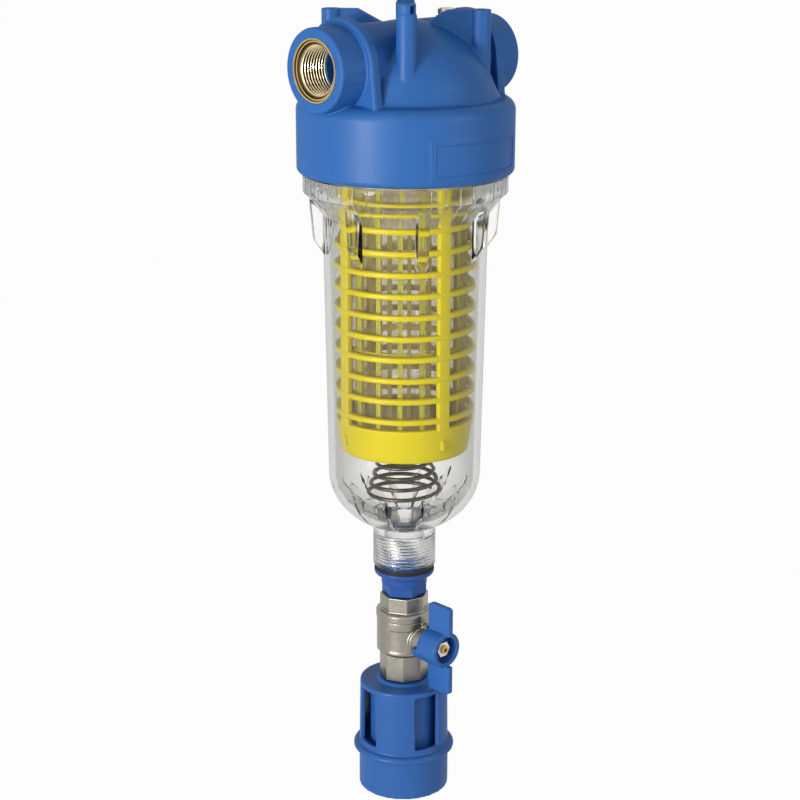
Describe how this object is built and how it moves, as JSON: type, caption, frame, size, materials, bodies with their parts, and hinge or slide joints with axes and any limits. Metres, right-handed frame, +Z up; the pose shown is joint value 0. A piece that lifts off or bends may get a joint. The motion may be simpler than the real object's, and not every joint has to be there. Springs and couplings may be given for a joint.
{
  "type": "self cleaning water filter",
  "caption": "In-line water filter: blue threaded head, clear screwed bowl, yellow mesh cartridge on a spring, ball valve and air-gap drain cup.",
  "frame": {"origin": "centre of the drain spigot's lower end, on the bowl's axis", "axes": "+Z up the bowl's axis to the head, X along the ports with the inlet at -X and the outlet at +X, the valve stem points to -Y"},
  "size_m": [0.124, 0.1134, 0.4373],
  "materials": {
    "moulded_blue": "satin moulded plastic",
    "cup_blue": "semi gloss moulded plastic",
    "brass": "machined",
    "plated_metal": "satin nickel plating on cast brass",
    "chromed_ball": "polished",
    "zinc_nut": "zinc plated",
    "clear_plastic": "clear moulded plastic",
    "cage_yellow": "bright yellow moulded plastic",
    "core_yellow": "yellow moulded plastic",
    "mesh_cloth": "fine woven mesh",
    "spring_wire": "dark spring wire",
    "black_rubber": "moulded rubber",
    "white_seat": "white low friction plastic"
  },
  "bodies": {
    "head_body": {"head": "moulded_blue", "inlet_insert": "brass", "outlet_insert": "brass"},
    "vent_ring": {"vent_seal": "black_rubber"},
    "vent_plug": {"vent_screw": "plated_metal"},
    "bowl_ring": {"bowl_seal": "black_rubber"},
    "bowl_body": {"bowl": "clear_plastic", "cartridge_spring": "spring_wire", "drain_adapter": "cup_blue", "adapter_seal": "black_rubber", "valve_body": "plated_metal", "valve_end_cap": "plated_metal", "seat_upper": "white_seat", "seat_lower": "white_seat", "stem_washer": "white_seat", "drain_cup": "cup_blue"},
    "cartridge": {"cartridge_cage": "cage_yellow", "filter_mesh": "mesh_cloth", "cartridge_core": "core_yellow", "cartridge_collar": "cage_yellow", "cartridge_seal": "black_rubber"},
    "valve_key": {"valve_ball": "chromed_ball", "valve_stem": "brass", "stem_seal": "black_rubber", "valve_handle": "cup_blue", "handle_nut": "zinc_nut"}
  },
  "joints": [
    {"name": "bowl_drop", "type": "slide", "parent": "head_body", "child": "bowl_ring", "axis": [0, 0, -1], "range_m": [0, 0.024]},
    {"name": "bowl_turn", "type": "hinge", "parent": "bowl_ring", "child": "bowl_body", "pos_m": [0, 0, 0.3481], "axis": [0, 0, -1], "range_deg": [0, 1440.5]},
    {"name": "cartridge_shift", "type": "slide", "parent": "bowl_body", "child": "cartridge", "axis": [0, 0, -1], "range_m": [0, 0.008], "stiffness_N_per_m": 400, "springref_m": -0.012, "deforming": ["cartridge_spring"]},
    {"name": "valve_turn", "type": "hinge", "parent": "bowl_body", "child": "valve_key", "pos_m": [0, 0, 0.09], "axis": [0, -1, 0], "range_deg": [-90, 0]},
    {"name": "vent_lift", "type": "slide", "parent": "head_body", "child": "vent_ring", "axis": [0, 0, 1], "range_m": [0, 0.002]},
    {"name": "vent_turn", "type": "hinge", "parent": "vent_ring", "child": "vent_plug", "pos_m": [0.0287, 0, 0.4267], "axis": [0, 0, 1], "range_deg": [0, 720.5]}
  ],
  "couplings": [
    {"joint": "bowl_turn", "follows": "bowl_drop", "rad_per_m": 1047.2},
    {"joint": "vent_turn", "follows": "vent_lift", "rad_per_m": 6283.2}
  ]
}
